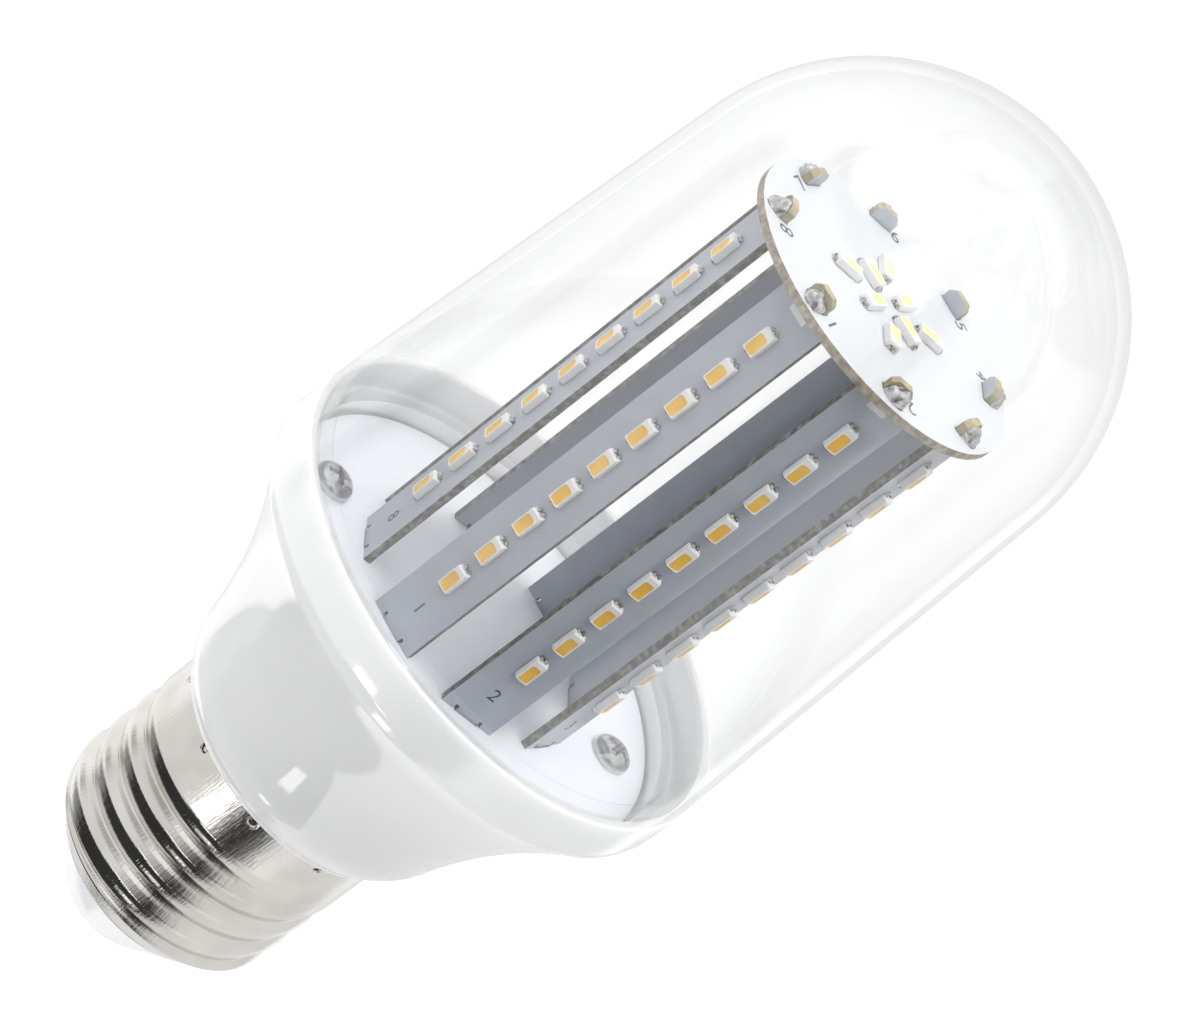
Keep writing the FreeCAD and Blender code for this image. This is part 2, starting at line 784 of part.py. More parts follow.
def make_driver_parts():
    """Heavy parts near the bell, the rest down the neck; side 1 is the transformer's."""
    bell_parts = driver_top - size["transformer_drop"]
    neck_parts = insulator_top + size["choke_place"]
    middle = insulator_top + size["chips_place"]
    winding_width = size["winding_width"]
    winding_height = size["winding_height"]
    gap = size["core_gap"] * 2
    on_driver_board(
        "transformer_winding", 1, size["winding_rise"],
        outline=centred_rectangle(ZERO, bell_parts, winding_width, winding_height))
    on_driver_board(
        "transformer_core", 1, size["core_rise"], lift=size["core_lift"],
        outline=centred_rectangle(ZERO, bell_parts, size["core_width"], size["core_height"]),
        window=centred_rectangle(ZERO, bell_parts, winding_width + gap, winding_height + gap))
    for name in ("rectifier", "controller"):
        on_driver_board(
            {"rectifier": "bridge_rectifier", "controller": "controller_chip"}[name], 1,
            size[name + "_rise"],
            outline=centred_rectangle(size[name + "_across"], middle,
                                      size[name + "_width"], size[name + "_height"]))
    on_driver_board("choke", 1, size["choke_rise"],
                    circle=(ZERO, neck_parts, size["choke_diameter"]))
    on_driver_board("input_capacitor", -1, size["input_capacitor_rise"],
                    circle=(ZERO, neck_parts, size["input_capacitor_diameter"]))
    on_driver_board("output_capacitor", -1, size["output_capacitor_rise"],
                    circle=(size["output_capacitor_across"],
                            driver_top - size["output_capacitor_drop"],
                            size["output_capacitor_diameter"]))
    on_driver_board("film_capacitor", -1, size["film_capacitor_rise"],
                    outline=centred_rectangle(size["film_capacitor_across"],
                                              driver_top - size["film_capacitor_drop"],
                                              size["film_capacitor_width"],
                                              size["film_capacitor_width"]))
    on_driver_board("fusible_resistor", -1, size["resistor_thickness"],
                    outline=centred_rectangle(ZERO, middle, size["resistor_thickness"],
                                              size["resistor_length"]))


def make_output_wire(name, side):
    """Straight lead from the driver up to the underside of the base board."""
    body = new_body(name, size["screw_angle"])
    foot = driver_top - size["wire_overlap"]
    section = new_sketch(body, "XY_Plane", foot)
    across = BOARD / 2 + CLEAR + size["wire_diameter"] / 2
    draw_circle(section, across, size["output_wire_across"] * side, size["wire_diameter"])
    pad(body, section, base_board_low - foot)


def make_bent_wire(name, route):
    """Insulated lead that follows a short route of straight runs."""
    points = [FreeCAD.Vector(*(step.value for step in point)) for point in route]
    start = Part.Circle(points[0], points[1] - points[0], size["wire_diameter"].value / 2)
    profile = Part.Wire([start.toShape()])
    lead = doc.addObject("Part::Feature", name)
    lead.Label = name
    lead.Shape = Part.makePolygon(points).makePipeShell([profile], True, False, 1)
    lead.Placement = FreeCAD.Placement(
        FreeCAD.Vector(0, 0, 0),
        FreeCAD.Rotation(FreeCAD.Vector(0, 0, 1), size["screw_angle"].value))


def make_input_wires():
    """The live wire ends on the rivet and the neutral wire on the shell's inner wall."""
    wire = size["wire_diameter"]
    beside = -(BOARD / 2 + CLEAR + wire / 2)
    rivet_top = size["nose_height"] + size["nose_floor"] + size["clinch_height"]
    live = size["live_wire_across"]
    make_bent_wire("live_wire", [
        (beside, live, insulator_top + wire * 3),
        (beside, live, insulator_top - wire),
        (ZERO, ZERO, rivet_top + wire * 1.5),
        (ZERO, ZERO, rivet_top),
    ])
    wall = cap_bore - CLEAR - wire / 2
    wall_x = wall * trig("cos", size["neutral_wire_angle"])
    wall_y = wall * trig("sin", size["neutral_wire_angle"])
    neutral = size["neutral_wire_across"]
    make_bent_wire("neutral_wire", [
        (beside, neutral, insulator_top + wire * 1.5),
        (beside, neutral, insulator_top + wire * 3),
        (wall_x, wall_y, insulator_top + wire * 4.5),
        (wall_x, wall_y, insulator_top + wire * 7.5),
    ])


make_screw_shell()
make_cap_insulator()
make_centre_contact()
make_housing()
make_clear_cover()
slotted_disc("base_board", base_board_top, base_board_radius, True)
slotted_disc("top_board", top_board_top, strips_radius + size["top_board_margin"], False)
for number in range(int(size["strip_count"].value)):
    make_led_strip(number)
    make_strip_leds(number)
make_top_leds()
make_base_screws()
make_solder_joints("top_solder_joints", top_board_top, size["solder_height"])
make_solder_joints("base_solder_joints", base_board_low, SLOT - size["tab_out_base"])
make_driver_board()
make_driver_parts()
make_output_wire("positive_wire", 1)
make_output_wire("negative_wire", -1)
make_input_wires()
doc.recompute()

pieces = [thing for thing in doc.Objects
          if thing.TypeId == "PartDesign::Body" or thing.Name.endswith("_wire")]
for thing in doc.Objects:
    if any(word in thing.State for word in ("Invalid", "Error")):
        raise RuntimeError("%s did not recompute" % thing.Name)
for piece in pieces:
    if piece.Shape.isNull() or not piece.Shape.isValid() or not piece.Shape.Solids:
        raise RuntimeError("%s has no sound solid" % piece.Name)
for piece in pieces:
    piece.Shape.exportStep("parts/%s.step" % piece.Label)
    print(piece.Label, len(piece.Shape.Solids), round(piece.Shape.Volume, 2))
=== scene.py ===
import math
import random

import bmesh
import bpy
import numpy as np
from mathutils import Matrix, Vector, noise


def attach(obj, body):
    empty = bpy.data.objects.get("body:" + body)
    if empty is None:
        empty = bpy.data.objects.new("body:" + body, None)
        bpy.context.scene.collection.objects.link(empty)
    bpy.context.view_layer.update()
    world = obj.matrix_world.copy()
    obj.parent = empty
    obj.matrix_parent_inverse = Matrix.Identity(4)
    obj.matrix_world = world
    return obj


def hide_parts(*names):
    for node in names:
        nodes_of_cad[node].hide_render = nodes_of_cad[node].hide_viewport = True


# Corn LED bulb, dressed piece by piece from the cap up to the clear cover.
# Lengths in this file are millimetres and turn into metres where a mesh is made.
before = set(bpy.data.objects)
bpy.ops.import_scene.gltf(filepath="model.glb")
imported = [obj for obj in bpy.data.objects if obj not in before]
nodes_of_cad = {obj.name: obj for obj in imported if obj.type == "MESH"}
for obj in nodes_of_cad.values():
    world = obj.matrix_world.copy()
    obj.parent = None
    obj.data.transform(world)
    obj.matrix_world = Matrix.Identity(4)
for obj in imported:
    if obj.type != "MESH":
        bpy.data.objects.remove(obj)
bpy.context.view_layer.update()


# Screw shell
# Thin nickel-plated sheet, drawn into a cup and rolled to a round thread. Ten punched
# crimps under the rim hold it on the neck of the housing.

class Finish:
    """A surface and the nodes that give it its grain, colour and gloss."""

    def __init__(self, name, settings):
        self.material = bpy.data.materials.new(name)
        self.material.use_nodes = True
        self.tree = self.material.node_tree
        self.surface = self.tree.nodes["Principled BSDF"]
        place = self.add("ShaderNodeTexCoord", output="Object")
        self.place = self.add("ShaderNodeMapping", {"Vector": place, "Scale": (1000,) * 3})
        for socket, value in settings.items():
            self.feed(self.surface.inputs[socket], value)

    def feed(self, socket, value):
        """Link the socket to another one, or give it a constant value."""
        if isinstance(value, bpy.types.NodeSocket):
            self.tree.links.new(value, socket)
        else:
            socket.default_value = value

    def add(self, kind, inputs=None, output=0, **settings):
        """Add a node, feed its inputs and hand back one of its outputs."""
        node = self.tree.nodes.new(kind)
        for key, value in settings.items():
            setattr(node, key, value)
        for socket, value in (inputs or {}).items():
            self.feed(node.inputs[socket], value)
        return node.outputs[output]

    def noise(self, per_mm, detail=3, place=None):
        return self.add("ShaderNodeTexNoise", {
            "Vector": place or self.place, "Scale": per_mm, "Detail": detail})

    def maths(self, operation, first, second=0.0, third=0.0):
        return self.add("ShaderNodeMath", {0: first, 1: second, 2: third}, operation=operation)

    def between(self, value, low, high, start=0.0, end=1.0):
        """The value's run from start to end, spread from low to high."""
        return self.add("ShaderNodeMapRange", {
            "Value": value, "From Min": start, "From Max": end, "To Min": low, "To Max": high})

    def tint(self, value, stops):
        """A ramp of colours, each stop a position and a colour."""
        ramp = self.tree.nodes.new("ShaderNodeValToRGB")
        while len(ramp.color_ramp.elements) < len(stops):
            ramp.color_ramp.elements.new(0.5)
        for element, (position, colour) in zip(ramp.color_ramp.elements, stops):
            element.position = position
            element.color = (*colour, 1)
        self.feed(ramp.inputs["Fac"], value)
        return ramp.outputs["Color"]

    def blend(self, share, first, second):
        node = self.tree.nodes.new("ShaderNodeMix")
        node.data_type = "RGBA"
        self.feed(node.inputs[0], share)
        for socket, value in ((6, first), (7, second)):
            self.feed(node.inputs[socket], (*value, 1) if isinstance(value, tuple) else value)
        return node.outputs[2]

    def set(self, socket, value):
        self.feed(self.surface.inputs[socket], value)

    def relief(self, height, depth_mm, strength=1.0):
        self.set("Normal", self.add("ShaderNodeBump", {
            "Height": height, "Distance": depth_mm * 0.001, "Strength": strength}))


def skin(rings, closed=False):
    """Points and faces of a skin over rings of points. A ring of one point ends it."""
    points, numbers, faces = [], [], []
    for ring in rings:
        numbers.append(range(len(points), len(points) + len(ring)))
        points.extend(tuple(point) for point in ring)
    around = max(len(ring) for ring in rings)
    pairs = list(zip(numbers, numbers[1:]))
    if closed:
        pairs.append((numbers[-1], numbers[0]))
    for ring, following in pairs:
        for step in range(around):
            ahead = (step + 1) % around
            corners = (ring[step % len(ring)], ring[ahead % len(ring)],
                       following[ahead % len(following)], following[step % len(following)])
            face = tuple(dict.fromkeys(corners))
            if len(face) > 2:
                faces.append(face)
    return points, faces


def add_piece(name, shapes, materials, replaced=(), crease=35, picks=None):
    """One object of the shapes given, in millimetres, riding on the bulb."""
    points, faces, finishes = [], [], []
    for number, (shape_points, shape_faces) in enumerate(shapes):
        start = len(points)
        points.extend(shape_points)
        faces.extend(tuple(start + corner for corner in face) for face in shape_faces)
        finishes.extend([picks[number] if picks else 0] * len(shape_faces))
    mesh = bpy.data.meshes.new(name)
    mesh.from_pydata([(x * 0.001, y * 0.001, z * 0.001) for x, y, z in points], [], faces)
    mesh.polygons.foreach_set("material_index", finishes)
    work = bmesh.new()
    work.from_mesh(mesh)
    bmesh.ops.recalc_face_normals(work, faces=work.faces)
    work.to_mesh(mesh)
    work.free()
    mesh.shade_smooth()
    mesh.set_sharp_from_angle(angle=math.radians(crease))
    for material in materials:
        mesh.materials.append(material)
    piece = bpy.data.objects.new(name, mesh)
    bpy.context.scene.collection.objects.link(piece)
    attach(piece, "root")
    if replaced:
        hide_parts(*replaced)
    return piece


def soften(outline):
    """An outline whose corners (radius, height, ease) are rounded off over the ease."""
    eased = []
    for number, corner in enumerate(outline):
        if len(corner) == 2:
            eased.append(corner)
            continue
        here = Vector(corner[:2])
        before = Vector(outline[number - 1][:2]) - here
        after = Vector(outline[(number + 1) % len(outline)][:2]) - here
        ease = min(corner[2], before.length / 2, after.length / 2)
        start, end = here + before.normalized() * ease, here + after.normalized() * ease
        for step in range(5):
            share = step / 4
            eased.append(tuple(start * (1 - share) ** 2 + here * 2 * share * (1 - share)
                               + end * share ** 2))
    return eased


def full_turn(steps):
    return [2 * math.pi * step / steps for step in range(steps)]


def circle(x, y, radius, height, turns):
    return [(x + radius * math.cos(a), y + radius * math.sin(a), height) for a in turns]


def lathe(outline, around):
    """A skin turned round the bulb's axis from an outline of (radius, height)."""
    turns = full_turn(around)
    return skin([circle(0.0, 0.0, radius, height, turns if radius > 1e-6 else [0.0])
                 for radius, height in outline], closed=True)


CREST, PITCH = 13.15, 3.629
CONE_LOW, CONE_HIGH, CONE_RADIUS = 7.0, 10.0, 10.5
THREAD_START, THREAD_TURNS, THREAD_ANGLE, RUN_OUT = 4.56, 4.775, 185, 0.16
THREAD_DEPTH, LOWER_FLANK, VALLEY, ROUNDNESS = 0.68, 0.66, 0.12, 1.65
CRIMP_COUNT, FIRST_CRIMP = 10, 5
CRIMP_HEIGHT, CRIMP_RADIUS, CRIMP_DEPTH, CRIMP_LIP = 27.6, 0.42, 0.4, 0.05


def groove(offset):
    """Depth of the rolled thread, 1 in its narrow valley and 0 on the round crest. The
    flank that faces the nose is longer and flatter than the other one."""
    run = PITCH * np.where(offset > 0, LOWER_FLANK, 1 - LOWER_FLANK)
    away = np.hypot(offset, VALLEY) - VALLEY
    return (1 - np.minimum(away / (run - VALLEY), 1)) ** ROUNDNESS


def rolled_radius(angle, height):
    """Radius of the shell's outer face: cone, round thread that runs out, skirt, crimps."""
    cone = CONE_RADIUS + (height - CONE_LOW) * (CREST - CONE_RADIUS) / (CONE_HIGH - CONE_LOW)
    share = ((angle - THREAD_ANGLE) % 360) / 360
    turn = np.floor((height - THREAD_START) / PITCH - share + 1 - LOWER_FLANK)
    along = turn + share
    offset = height - THREAD_START - along * PITCH
    run_out = np.clip((THREAD_TURNS - along) / RUN_OUT, 0, 1)
    run_out = run_out * run_out * (3 - 2 * run_out) * (turn >= 0)
    radius = CREST - THREAD_DEPTH * groove(offset) * run_out
    blend = 0.25
    gap = np.clip(0.5 + 0.5 * (radius - cone) / blend, 0, 1)
    radius = radius * (1 - gap) + cone * gap - blend * gap * (1 - gap)
    sector = 360 / CRIMP_COUNT
    sideways = ((angle - FIRST_CRIMP + sector / 2) % sector - sector / 2) * math.pi / 180 * CREST
    reach = np.hypot(sideways, height - CRIMP_HEIGHT) / CRIMP_RADIUS
    pit = np.clip(1.15 - reach, 0, 0.6) / 0.6
    lip = np.exp(-((reach - 1.35) / 0.25) ** 2)
    return np.minimum(radius - CRIMP_DEPTH * pit - CRIMP_LIP * lip, CREST), pit


def shell_grid():
    """Angles and heights, closer together at the crimps."""
    sector = np.concatenate([np.linspace(-18, -3.2, 13)[:-1], np.linspace(-3.2, 3.2, 18)[:-1],
                             np.linspace(3.2, 18, 13)[:-1]])
    angles = np.concatenate([FIRST_CRIMP + 360 / CRIMP_COUNT * number + sector
                             for number in range(CRIMP_COUNT)])
    heights = np.concatenate([np.linspace(CONE_LOW, 24.6, 150), np.linspace(24.9, 26.8, 8),
                              np.linspace(26.9, 28.3, 19), [28.42, 28.5]])
    return angles, heights


angles, heights = shell_grid()
turned, tall = np.meshgrid(angles, heights)
outer, pits = rolled_radius(turned, tall)
for row, turned_in in ((0, 0.25), (1, 0.06), (-1, 0.12)):
    outer[row] -= turned_in
bore = [(12.8, 28.5), (12.8, 23.7), (11.9, 23.2), (11.9, 10.2), (9.8, 7.7), (9.8, 7.0)]
rings = []
for radius, height in [*zip(outer, heights), *bore]:
    rings.append(np.stack([radius * np.cos(np.radians(angles)), radius * np.sin(np.radians(angles)),
                           np.full_like(angles, height)], axis=1))

nickel = Finish("nickel_plate", {"Metallic": 1.0, "Specular IOR Level": 0.6})
around_cap = nickel.add("ShaderNodeVectorMath", {0: nickel.place, 1: (1, 1, 0)},
                        operation="MULTIPLY")
around_cap = nickel.add("ShaderNodeVectorMath", {0: around_cap}, operation="NORMALIZE")
drawn_place = nickel.add("ShaderNodeVectorMath", {
    0: nickel.add("ShaderNodeVectorMath", {0: around_cap, 1: (13, 13, 0)}, operation="MULTIPLY"),
    1: nickel.add("ShaderNodeVectorMath", {0: nickel.place, 1: (0, 0, 0.09)},
                  operation="MULTIPLY")}, operation="ADD")
drawn = nickel.noise(4.5, 4, place=drawn_place)
fine_drawn = nickel.noise(16, 2, place=drawn_place)
cloud = nickel.noise(0.16, 2)
nickel.set("Base Color", nickel.tint(cloud, [
    (0.30, (0.66, 0.63, 0.59)), (0.55, (0.75, 0.73, 0.69)), (0.75, (0.80, 0.78, 0.75))]))
nickel.set("Roughness", nickel.maths("ADD", nickel.between(drawn, 0.03, 0.10, 0.3, 0.75),
                                   nickel.between(cloud, 0.0, 0.03)))
nickel.relief(nickel.maths("MULTIPLY_ADD", fine_drawn, 0.4, drawn), 0.028, 0.8)

pit_dark = Finish("crimp_shadow", {"Metallic": 1.0, "Roughness": 0.35})
pit_dark.set("Base Color", pit_dark.tint(pit_dark.noise(6), [
    (0.3, (0.03, 0.027, 0.024)), (0.7, (0.10, 0.095, 0.09))]))

shell = add_piece("screw_shell_rolled", [skin(rings, closed=True)],
                  [nickel.material, pit_dark.material], ("screw_shell",), 60)
deep = set(zip(*np.nonzero(pits > 0.3)))
for face in shell.data.polygons:
    corners = [divmod(vertex, len(angles)) for vertex in face.vertices]
    if all(corner in deep for corner in corners):
        face.material_index = 1


# Cap insulator
# White moulded nose, pressed into the turned-in end of the shell. It keeps the centre
# contact away from the shell, and a few specks of dirt sit round its edge.

nose = soften([(1.2, 1.0), (5.3, 1.0, 0.5), (10.45, 6.95, 0.18), (9.5, 7.02), (9.5, 7.8),
               (11.6, 10.6), (11.6, 11.2), (7.5, 11.2), (7.5, 5.0), (1.2, 5.0)])
ivory = Finish("insulator_white", {"Roughness": 0.22, "Coat Weight": 0.3,
                                   "Subsurface Weight": 0.12, "Subsurface Radius": (1, 1, 1),
                                   "Subsurface Scale": 0.001})
specks = ivory.noise(3.2, 2)
ivory.set("Base Color", ivory.tint(specks, [
    (0.0, (0.93, 0.94, 0.96)), (0.70, (0.92, 0.93, 0.95)), (0.735, (0.62, 0.62, 0.62))]))
ivory.relief(ivory.noise(0.5, 2), 0.03, 0.4)
add_piece("cap_insulator_moulded", [lathe(nose, 128)], [ivory.material],
          ("cap_insulator",))


# Centre contact
# One plated brass rivet through the nose, its tail clinched inside. The lamp holder's
# spring rubs its tip bright.

def dress(node, finish):
    piece = nodes_of_cad[node]
    piece.data.materials.clear()
    piece.data.materials.append(finish.material)


rivet = Finish("contact_metal", {"Metallic": 1.0})
rivet.set("Base Color", rivet.tint(rivet.noise(0.8), [
    (0.3, (0.62, 0.59, 0.54)), (0.7, (0.78, 0.76, 0.72))]))
rivet.set("Roughness", rivet.between(rivet.noise(3, 4), 0.15, 0.4))
rivet.relief(rivet.noise(2.5, 3), 0.02, 0.4)
dress("centre_contact", rivet)


# Housing
# One glossy white moulding. The neck plugs into the cap behind a thin lip, the bell flares
# to the collar that takes the clear cover, and ribs and bosses hold what is inside.

def arc(start, end, radius, steps):
    """Points from start to end; a positive radius bulges to the right of the way."""
    start, end = Vector(start), Vector(end)
    chord = end - start
    side = Vector((-chord.y, chord.x)).normalized()
    depth = math.sqrt(radius * radius - (chord.length / 2) ** 2)
    centre = (start + end) / 2 + side * math.copysign(depth, radius)
    first, last = start - centre, end - centre
    sweep = first.angle_signed(last)
    points = []
    for step in range(1, steps):
        turn = -sweep * step / steps
        points.append((centre.x + first.x * math.cos(turn) - first.y * math.sin(turn),
                       centre.y + first.x * math.sin(turn) + first.y * math.cos(turn)))
    return points


def tube(x, y, low, high, radius, bore):
    outline = ((bore, low), (radius, low), (radius, high), (bore, high))
    return skin([circle(x, y, size, height, full_turn(24)) for size, height in outline],
                closed=True)


def turn_shape(shape, degrees):
    spin = Matrix.Rotation(math.radians(degrees), 3, "Z")
    points, faces = shape
    return [tuple(spin @ Vector(point)) for point in points], faces


def block(x0, x1, y0, y1, z0, z1):
    lower = [(x0, y0, z0), (x1, y0, z0), (x1, y1, z0), (x0, y1, z0)]
    upper = [(x, y, z1) for x, y, z in lower]
    return lower + upper, [(0, 3, 2, 1), (4, 5, 6, 7), (0, 1, 5, 4), (1, 2, 6, 5), (2, 3, 7, 6),
                           (3, 0, 4, 7)]


SCREW_ANGLE, SCREW_REACH = 137, 18.3
BOSS_LOW, BOSS_TOP, BOSS_RADIUS, BOSS_BORE = 46.0, 50.39, 2.5, 1.4
RIB_NEAR, RIB_FAR, RIB_IN, RIB_OUT = 0.85, 1.85, 8.9, 11.2
NECK_LOW, RIB_TOP = 24.0, 31.0
lip_top, shoulder = (13.9, 28.9), (16.15, 32.9)
outside = soften([(12.5, NECK_LOW), (12.5, 28.52), (13.9, 28.5, 0.12), lip_top])
outside += arc(lip_top, shoulder, 7.0, 14) + [shoulder]
outside += arc(shoulder, (25.1, 51.6), -48.8, 30)
outside += soften([(25.1, 51.6), (25.12, 51.65), (25.45, 52.7, 0.35), (25.45, 57.0, 0.22),
                   (24.5, 57.0, 0.12), (24.5, 53.0), (23.0, 53.0), (23.0, 50.4), (21.7, 50.4),
                   (21.7, 49.7)])
outside += arc((21.7, 49.7), (14.55, 32.9), 50.4, 16)
outside += [(14.55, 32.9), (11.0, RIB_TOP), (11.0, NECK_LOW)]
housing_shapes = [lathe(outside, 240)]
for side in (1, -1):
    boss = tube(SCREW_REACH * side, 0, BOSS_LOW, BOSS_TOP, BOSS_RADIUS, BOSS_BORE)
    housing_shapes.append(turn_shape(boss, SCREW_ANGLE))
    for across in (1, -1):
        near, far = sorted((RIB_NEAR * across, RIB_FAR * across))
        low, high = sorted((RIB_IN * side, RIB_OUT * side))
        rib = block(near, far, low, high, NECK_LOW, RIB_TOP)
        housing_shapes.append(turn_shape(rib, SCREW_ANGLE))

gloss_white = Finish("housing_white", {
    "IOR": 2.0, "Subsurface Weight": 0.9, "Subsurface Radius": (1, 1, 1),
    "Subsurface Scale": 0.0025})
gloss_white.set("Base Color", gloss_white.tint(gloss_white.noise(0.07, 3), [
    (0.3, (0.80, 0.805, 0.81)), (0.7, (0.84, 0.845, 0.85))]))
gloss_white.set("Roughness", gloss_white.between(gloss_white.noise(0.35, 4), 0.02, 0.05))
gloss_white.relief(gloss_white.noise(0.12, 2), 0.03, 0.2)
add_piece("housing_moulded", housing_shapes, [gloss_white.material],
          ("housing",), 40)


# Base board and top board
# Round glass-fibre boards under white solder mask, brown where they are cut. Each has
# eight slots for the strips' tabs.

TOP_TOP = 101.7


def mask_and_edge(name, faces_out, face_stops, edge_stops):
    """Solder mask on the faces that the share faces_out picks, bare fibre on the cuts.

    The fibre of the tabs that stand above the top board is paler.
    """
    finish = Finish(name, {"IOR": 1.5})
    share = faces_out(finish)
    mask = finish.tint(finish.noise(0.4, 3), face_stops)
    height = finish.add("ShaderNodeSeparateXYZ", {0: finish.place}, output="Z")
    fibre = finish.blend(finish.maths("GREATER_THAN", height, TOP_TOP + 0.02),
                         finish.tint(finish.noise(1.6, 5), edge_stops),
                         finish.tint(finish.noise(1.2, 3), [
                             (0.3, (0.30, 0.25, 0.13)), (0.7, (0.44, 0.39, 0.25))]))
    finish.set("Base Color", finish.blend(share, fibre, mask))
    finish.set("Roughness", finish.between(share, 0.75, 0.34))
    finish.relief(finish.noise(5, 3), 0.01, 0.3)
    return finish


def level_faces(finish):
    facing = finish.add("ShaderNodeNewGeometry", output="True Normal")
    up = finish.add("ShaderNodeSeparateXYZ", {0: facing}, output="Z")
    return finish.maths("GREATER_THAN", finish.maths("ABSOLUTE", up), 0.7)


DISC_EDGE = [(0.3, (0.24, 0.20, 0.145)), (0.5, (0.37, 0.32, 0.25)), (0.7, (0.55, 0.50, 0.42))]
dress("base_board", mask_and_edge("base_board_mask", level_faces, [
    (0.3, (0.78, 0.81, 0.85)), (0.7, (0.81, 0.835, 0.87))], DISC_EDGE))
# Painted shade: the top board carries the same white mask, given a darker grey to hold down the
# strong light from above.
dress("top_board", mask_and_edge("top_board_mask_painted_shade", level_faces, [
    (0.3, (0.56, 0.58, 0.60)), (0.7, (0.58, 0.60, 0.62))], DISC_EDGE))


# Upright LED strips
# Eight strips of the same board, each soldered by a tab at both ends. The outer face has
# white mask in painted shade, a pale pad and a printed number, the cut sides are brown.

STRIP_COUNT, FIRST_STRIP, STRIP_FACE = 8, 14, 13.35
BASE_TOP, TOP_LOW = 51.2, 100.9


def radial_faces(finish):
    facing = finish.add("ShaderNodeNewGeometry", output="True Normal")
    flat = finish.add("ShaderNodeVectorMath", {0: finish.place, 1: (1, 1, 0)},
                      operation="MULTIPLY")
    outwards = finish.add("ShaderNodeVectorMath", {0: flat}, operation="NORMALIZE")
    match = finish.add("ShaderNodeVectorMath", {0: outwards, 1: facing}, output="Value",
                       operation="DOT_PRODUCT")
    height = finish.add("ShaderNodeSeparateXYZ", {0: finish.place}, output="Z")
    masked = finish.maths("LESS_THAN", height, TOP_TOP + 0.02)
    outer = finish.maths("MULTIPLY", finish.maths("GREATER_THAN", match, 0.8), masked)
    return finish.maths("ADD", outer, finish.maths("LESS_THAN", match, -0.8))


# Painted shade: the strips' white mask is given a dark grey-blue, for the light they lose inside
# the cover.
shaded_strip_finish = mask_and_edge(
    "strip_mask_painted_shade", radial_faces,
    [(0.3, (0.41, 0.44, 0.495)), (0.7, (0.45, 0.48, 0.535))],
    [(0.35, (0.12, 0.11, 0.095)), (0.5, (0.20, 0.19, 0.17)), (0.68, (0.36, 0.35, 0.32))])
for number in range(1, STRIP_COUNT + 1):
    dress("led_strip_%d" % number, shaded_strip_finish)


def on_strip(number, across, up, out):
    """A place on a strip's outer face: sideways, height, and distance off the face."""
    turn = math.radians(FIRST_STRIP + 45 * (number - 1))
    reach = STRIP_FACE + out
    return (reach * math.cos(turn) - across * math.sin(turn),
            reach * math.sin(turn) + across * math.cos(turn), up)


pale_pad = Finish("pale_pad", {"Roughness": 0.5})
pale_pad.set("Base Color", pale_pad.tint(pale_pad.noise(3), [
    (0.3, (0.70, 0.72, 0.70)), (0.7, (0.80, 0.81, 0.79))]))
ink = Finish("printed_ink", {"Roughness": 0.6})
ink.set("Base Color", ink.tint(ink.noise(5), [
    (0.35, (0.05, 0.055, 0.06)), (0.7, (0.12, 0.125, 0.13))]))


def laid(shape, place):
    """A shape put where the place function says."""
    points, faces = shape
    return [place(*point) for point in points], faces


def printed(text, height, place):
    """The outline of printed text as a thin mesh, laid out by the place function."""
    writing = bpy.data.curves.new("writing", "FONT")
    writing.body = text
    writing.size = height
    writing.align_x = "CENTER"
    writing.align_y = "CENTER"
    writing.extrude = 0.006
    writing.resolution_u = 3
    holder = bpy.data.objects.new("writing", writing)
    bpy.context.scene.collection.objects.link(holder)
    bpy.context.view_layer.update()
    mesh = bpy.data.meshes.new_from_object(holder)
    shape = ([place(*vertex.co) for vertex in mesh.vertices],
             [tuple(face.vertices) for face in mesh.polygons])
    bpy.data.objects.remove(holder)
    bpy.data.meshes.remove(mesh)
    return shape


PAD_WIDE, PAD_TALL, PAD_THICK, PAD_DROP = 2.0, 0.55, 0.02, 1.1
NUMBER_TALL, NUMBER_UP, INK_LIFT = 2.0, 3.6, 0.007
pad = block(-PAD_WIDE / 2, PAD_WIDE / 2, -PAD_TALL / 2, PAD_TALL / 2, 0, PAD_THICK)
pads, numbers = [], []
for number in range(1, STRIP_COUNT + 1):
    pads.append(laid(pad, lambda x, y, z, strip=number: on_strip(
        strip, x, TOP_LOW - PAD_DROP + y, z)))
    numbers.append(printed(str(number), NUMBER_TALL, lambda x, y, z, strip=number: on_strip(
        strip, x, BASE_TOP + NUMBER_UP + y, z + INK_LIFT)))
add_piece("strip_pads", pads, [pale_pad.material])
add_piece("strip_numbers", numbers, [ink.material])


# LED packages
# White ceramic-filled cups with a rounded window full of yellow phosphor gel. Each is
# reflow-soldered by a terminal at both ends, nine to a strip and eight on the top board.

LED_WIDE, LED_LONG, LED_TALL, LED_PITCH, FIRST_LED = 1.4, 2.8, 0.8, 4.54, 8.3
WINDOW_WIDE, WINDOW_LONG, WINDOW_SHIFT = 1.05, 2.05, -0.25
INNER_LEDS, OUTER_LEDS = 3.0, 5.15


def rounded_ring(width, length, corner, height, shift=0.0):
    """A rectangle with rounded corners, level at the height."""
    ring = []
    for quarter in range(4):
        x = (width / 2 - corner) * (1 if quarter in (0, 3) else -1)
        y = (length / 2 - corner) * (1 if quarter in (0, 1) else -1)
        for step in range(5):
            turn = math.pi / 2 * (quarter + step / 4)
            ring.append((x + corner * math.cos(turn), y + corner * math.sin(turn) + shift, height))
    return ring


